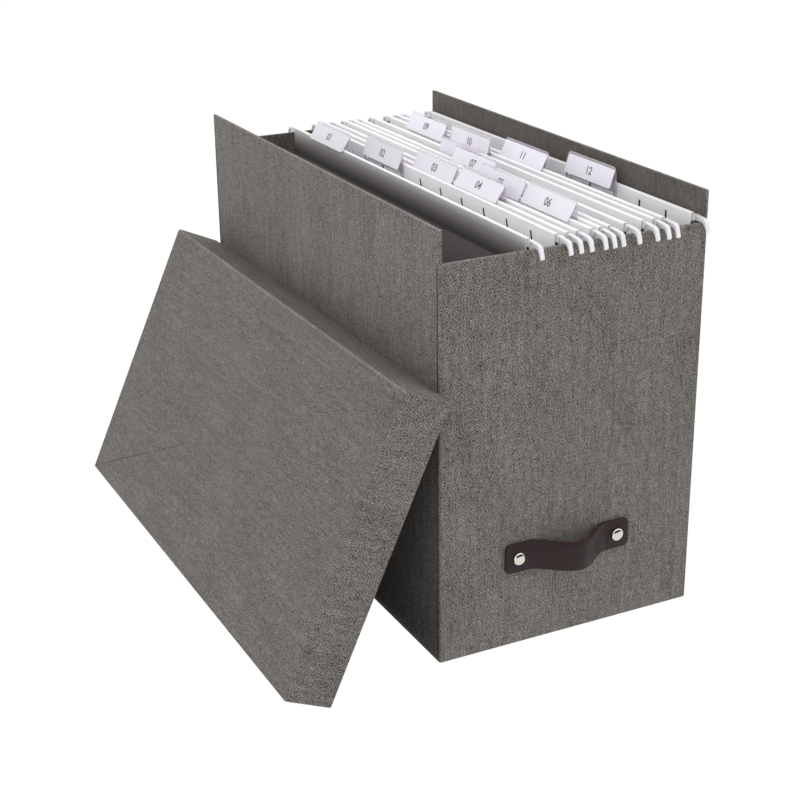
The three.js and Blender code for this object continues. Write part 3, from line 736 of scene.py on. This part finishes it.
# ---------------------------------------------------------------- files, rods, tabs

def arc(x, z, radius, start, end, steps=5):
    """Points on an arc, from one angle in degrees to another."""
    angles = [math.radians(start + (end - start) * i / steps) for i in range(steps + 1)]
    return [(x + radius * math.cos(a), z + radius * math.sin(a)) for a in angles]


def file_section(front, rear):
    """A file's outline in X and Z, with the holes of its two channels after it."""
    middle = (front + rear) / 2
    r = FOLD_ROUND

    def over(x):
        """Round the top of one channel, from its far side to its near one."""
        return (arc(x + CHANNEL_OUT - r, PANEL_TOP - r, r, 0, 90)
                + arc(x - CHANNEL_OUT + r, PANEL_TOP - r, r, 90, 180))

    outline = [(front - CHANNEL_OUT, FLAP_END)]
    outline += arc(middle, FOLD_CENTRE, FOLD_RADIUS, 180, 360, 10)
    outline += [(rear + CHANNEL_OUT, FLAP_END), *over(rear), (rear - CHANNEL_OUT, POCKET_BOTTOM),
                (rear + CHANNEL_IN, FLAP_END)]
    outline += arc(middle, FOLD_CENTRE, FOLD_RADIUS - PAPER, 360, 180, 10)
    outline += [(front - CHANNEL_IN, FLAP_END), (front + CHANNEL_OUT, POCKET_BOTTOM), *over(front)]
    loops = [outline]
    for x, side in ((front, 1), (rear, -1)):
        out, back = x - side * CHANNEL_IN, x + side * CHANNEL_IN
        loops.append([(out, (FLAP_END + POCKET_BOTTOM) / 2), (back, POCKET_BOTTOM), (back, CHANNEL_TOP),
                      (out, CHANNEL_TOP)])
    return loops


def extruded(loops, y_from, y_to):
    """A closed bmesh with the first loop outside and the others as holes, drawn in X and Z.

    Which way its faces look is left to new_object.
    """
    bm = bmesh.new()
    rows = []
    for y in (y_from, y_to):
        rows.append([[bm.verts.new((x * MM, y * MM, z * MM)) for x, z in loop] for loop in loops])
    for near, far in zip(*rows):
        for i in range(len(near)):
            j = (i + 1) % len(near)
            bm.faces.new((near[i], near[j], far[j], far[i]))
    triangles = geometry.tessellate_polygon([[Vector((x, z, 0)) for x, z in loop] for loop in loops])
    for row in rows:
        flat = [vert for loop in row for vert in loop]
        for triangle in triangles:
            bm.faces.new([flat[i] for i in triangle])
    return bm


def add_mesh(bm, mesh):
    """Puts the mesh's faces into the bmesh, and removes the mesh."""
    bm.from_mesh(mesh)
    bpy.data.meshes.remove(mesh)


def slit_cutter(front, rear):
    """All slits of a file as one bmesh."""
    reach = CHANNEL_OUT + 0.3
    bm = bmesh.new()
    for low, high in ((front, front + reach), (rear - reach, rear)):
        for i in range(SLIT_COUNT):
            y = (i - (SLIT_COUNT - 1) / 2) * SLIT_PITCH
            slit = block((low, y - SLIT_WIDTH / 2, SLIT_LOW), (high, y + SLIT_WIDTH / 2, SLIT_HIGH))
            mesh = bpy.data.meshes.new("slit")
            slit.to_mesh(mesh)
            slit.free()
            add_mesh(bm, mesh)
    return bm


def paper_file(number, front, rear):
    """A folded file, with painted shade in its channels and slits. The first one's outer face has a painted
    shade gradient.
    """
    bm = extruded(file_section(front, rear), -PANEL_LENGTH / 2, PANEL_LENGTH / 2)
    folder = new_object("card_file_%d" % number, bm, [CARD, SHADED_OUTER_CARD, CHANNEL_SHADE_CARD])
    slits = slit_cutter(front, rear)
    if number == 1:
        lean = Matrix()
        lean[1][2] = FIRST_SLIT_LEAN
        lean[1][3] = -FIRST_SLIT_LEAN * (SLIT_LOW + SLIT_HIGH) / 2 * MM
        slits.transform(lean)
    cut(folder, slits)
    middle, half = (front + rear) / 2, (rear - front) / 2
    for face in folder.data.polygons:
        x, y, z = face.center / MM
        normal = face.normal
        in_channel = (min(abs(x - front), abs(x - rear)) < CHANNEL_IN + 0.05
                      and FLAP_END < z < CHANNEL_TOP + 0.05 and abs(normal.y) < 0.5)
        in_slit = (abs(normal.x) < 0.5 and abs(x - middle) < half and abs(y) < PANEL_LENGTH / 2 - 1
                   and SLIT_LOW - 0.1 < z < SLIT_HIGH + 0.1)
        # Painted shade in the channels and slits.
        if in_slit or in_channel:
            paint(folder.data, face, CHANNEL_SHADE_CARD)
        # The first file's outer face gets the painted shade gradient.
        elif number == 1 and x < middle - 1 and normal.x < -0.5:
            paint(folder.data, face, SHADED_OUTER_CARD)
    sharpen(folder, 30)
    settle(folder, "file_%d" % number)


def rod(number, x):
    """A strip with an arm and a hook at each end, whose webs are recessed on both sides."""
    half = [(ARM_START, STRIP_BOTTOM), (ARM_START, ARM_BOTTOM), *HOOK, (ARM_START, ROD_TOP)]
    outline = half + [(-y, z) for y, z in reversed(half)]
    recess = [(RECESS_START, RECESS_LOW), *RECESS, (RECESS_START, RECESS_TOP)]

    def sideways(loop, x_from, x_to):
        """A loop drawn in Y and Z, and extruded along X from the rod's place."""
        bm = extruded([loop], x_from, x_to)
        bm.transform(Matrix(((0, 1, 0, x * MM), (1, 0, 0, 0), (0, 0, 1, 0), (0, 0, 0, 1))))
        return bm

    bar = new_object("hanger_rod_%02d" % number, sideways(outline, -STRIP_HALF, ARM_SIDE), [WHITE_PLASTIC])
    tools = [block((x + STRIP_HALF, -ARM_START, STRIP_BOTTOM - PAST),
                   (x + ARM_SIDE + PAST, ARM_START, ROD_TOP + PAST))]
    for side in (1, -1):
        for x_from, x_to in ((-STRIP_HALF - 1, WEB_FROM), (WEB_TO, ARM_SIDE + 1)):
            tools.append(sideways([(side * y, z) for y, z in recess], x_from, x_to))
    cut(bar, *tools)
    round_edges(bar, ROD_ROUND, segments=2)
    sharpen(bar)
    settle(bar, "rod_%02d" % number)


def label_frame(node):
    """From a grid on the CAD label (across, up its slope, out towards the reader) to its place in the box."""
    points = [v.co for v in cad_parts[node].data.vertices]
    middle = sum(points, Vector()) / len(points)
    high = [p for p in points if p.z > middle.z]
    up = sum(high, Vector()) / len(high) - middle
    up.y = 0
    up.normalize()
    across = Vector((0, -1, 0))
    out = across.cross(up)
    return Matrix.Translation(middle) @ Matrix((across, up, out)).transposed().to_4x4()


def label_sheet():
    """The label's paper as a bmesh: a flat sheet about z = 0 with rounded corners."""
    bm = bmesh.new()
    side = LABEL_HALF - LABEL_CORNER
    low, high = LABEL_CORNER - LABEL_DOWN, LABEL_UP - LABEL_CORNER
    outline = []
    for x, y, start in ((side, high, 0), (-side, high, 90), (-side, low, 180), (side, low, 270)):
        outline += arc(x, y, LABEL_CORNER, start, start + 90)
    top, bottom = ([bm.verts.new((x * MM, y * MM, z * MM)) for x, y in outline]
                   for z in (LABEL_PAPER_THICKNESS / 2, -LABEL_PAPER_THICKNESS / 2))
    bm.faces.new(top)
    bm.faces.new(bottom[::-1])
    for i in range(len(top)):
        j = (i + 1) % len(top)
        bm.faces.new((top[i], bottom[i], bottom[j], top[j]))
    return bm


def digits_mesh(text):
    """The text as a thin solid about the origin."""
    curve = bpy.data.curves.new("digits", "FONT")
    curve.body = text
    curve.size = DIGIT_SIZE * MM
    curve.align_x = curve.align_y = "CENTER"
    curve.extrude = INK_THICKNESS / 2 * MM
    curve.offset = DIGIT_BOLD * MM
    writer = bpy.data.objects.new("digits", curve)
    bpy.context.scene.collection.objects.link(writer)
    mesh = evaluated_mesh(writer)
    bpy.data.objects.remove(writer)
    return mesh


def label(number):
    """A paper label with its plain number, 01 to 12."""
    node = "label_%02d" % number
    bm = label_sheet()
    paper_faces = len(bm.faces)
    digits = digits_mesh("%02d" % number)
    digits.transform(Matrix.Translation((0, DIGIT_LIFT * MM, INK_MIDDLE * MM)))
    add_mesh(bm, digits)
    bm.faces.ensure_lookup_table()
    for face in bm.faces[paper_faces:]:
        face.material_index = 1
    bm.transform(label_frame(node))
    paper = new_object("numbered_label_%02d" % number, bm, [LABEL_PAPER, INK], smooth=False)
    settle(paper, node)


def tab(number):
    """Dresses the CAD tab, with the plain clear film on the leg that lies over the label."""
    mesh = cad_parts["tab_%02d" % number].data
    mesh.materials.clear()
    mesh.materials.append(CLEAR_PLASTIC)
    mesh.materials.append(GLOSSY_FILM)
    to_label = label_frame("label_%02d" % number).inverted()
    for face in mesh.polygons:
        _, up, out = to_label @ face.center / MM
        paint(mesh, face, GLOSSY_FILM if 0.1 < out < 0.7 and up < LABEL_UP else CLEAR_PLASTIC)


def hanging_files():
    for number, (front, rear) in enumerate(RODS, 1):
        paper_file(number, front, rear)
    for number, x in enumerate((x for pair in RODS for x in pair), 1):
        rod(number, x)
        tab(number)
        label(number)


# ---------------------------------------------------------------- studio

def stage_sheet(name, material, *corners):
    bm = bmesh.new()
    bm.faces.new([bm.verts.new(corner) for corner in corners])
    sheet = new_object(name, bm, [material], smooth=False)
    return sheet


def studio():
    scene = bpy.context.scene
    scene.view_settings.view_transform = "Standard"
    world = bpy.data.worlds.new("studio")
    world.use_nodes = True
    background = world.node_tree.nodes["Background"].inputs
    background["Color"].default_value = (1, 1, 1, 1)
    background["Strength"].default_value = WORLD_STRENGTH
    scene.world = world

    # The floor only glows, so that it comes out white.
    glow = Tree("floor").surface(Base_Color=(0, 0, 0, 1), Roughness=1.0, Specular_IOR_Level=0.0,
                                 Emission_Color=(1, 1, 1, 1), Emission_Strength=FLOOR_GLOW)
    far, z = FLOOR_HALF, FLOOR_Z
    stage_sheet("floor", glow, (-far, -far, z), (far, -far, z), (far, far, z), (-far, far, z))

    # A black sheet that the camera doesn't see keeps the glow away under the leaning lid.
    black = Tree("black_card").surface(Base_Color=(0.004, 0.004, 0.004, 1), Roughness=1.0,
                                       Specular_IOR_Level=0.0)
    (left, right), (near, far), z = SHADE_X, SHADE_Y, SHADE_Z
    shade = stage_sheet("shade", black, (left, near, z), (right, near, z), (right, far, z), (left, far, z))
    shade.visible_camera = False

    # Only polished metal sees this card.
    (left, right), y, (low, high) = MIRRORED_X, MIRRORED_Y, MIRRORED_Z
    mirrored = stage_sheet("mirrored_card", black, (left, y, low), (right, y, low), (right, y, high),
                           (left, y, high))
    mirrored.visible_camera = mirrored.visible_diffuse = mirrored.visible_shadow = False
    mirrored.visible_transmission = False


def camera():
    lens = bpy.data.cameras.new("camera")
    lens.sensor_width = SENSOR_WIDTH
    lens.lens = SENSOR_WIDTH * FOCAL_SHARE
    holder = bpy.data.objects.new("camera", lens)
    bpy.context.scene.collection.objects.link(holder)
    holder.matrix_world = Matrix.Translation(CAMERA_PLACE) @ Matrix(CAMERA_TURN).transposed().to_4x4()
    bpy.context.scene.camera = holder


box_body()
lining()
lid()
strap()
rivets()
hanging_files()
studio()
camera()
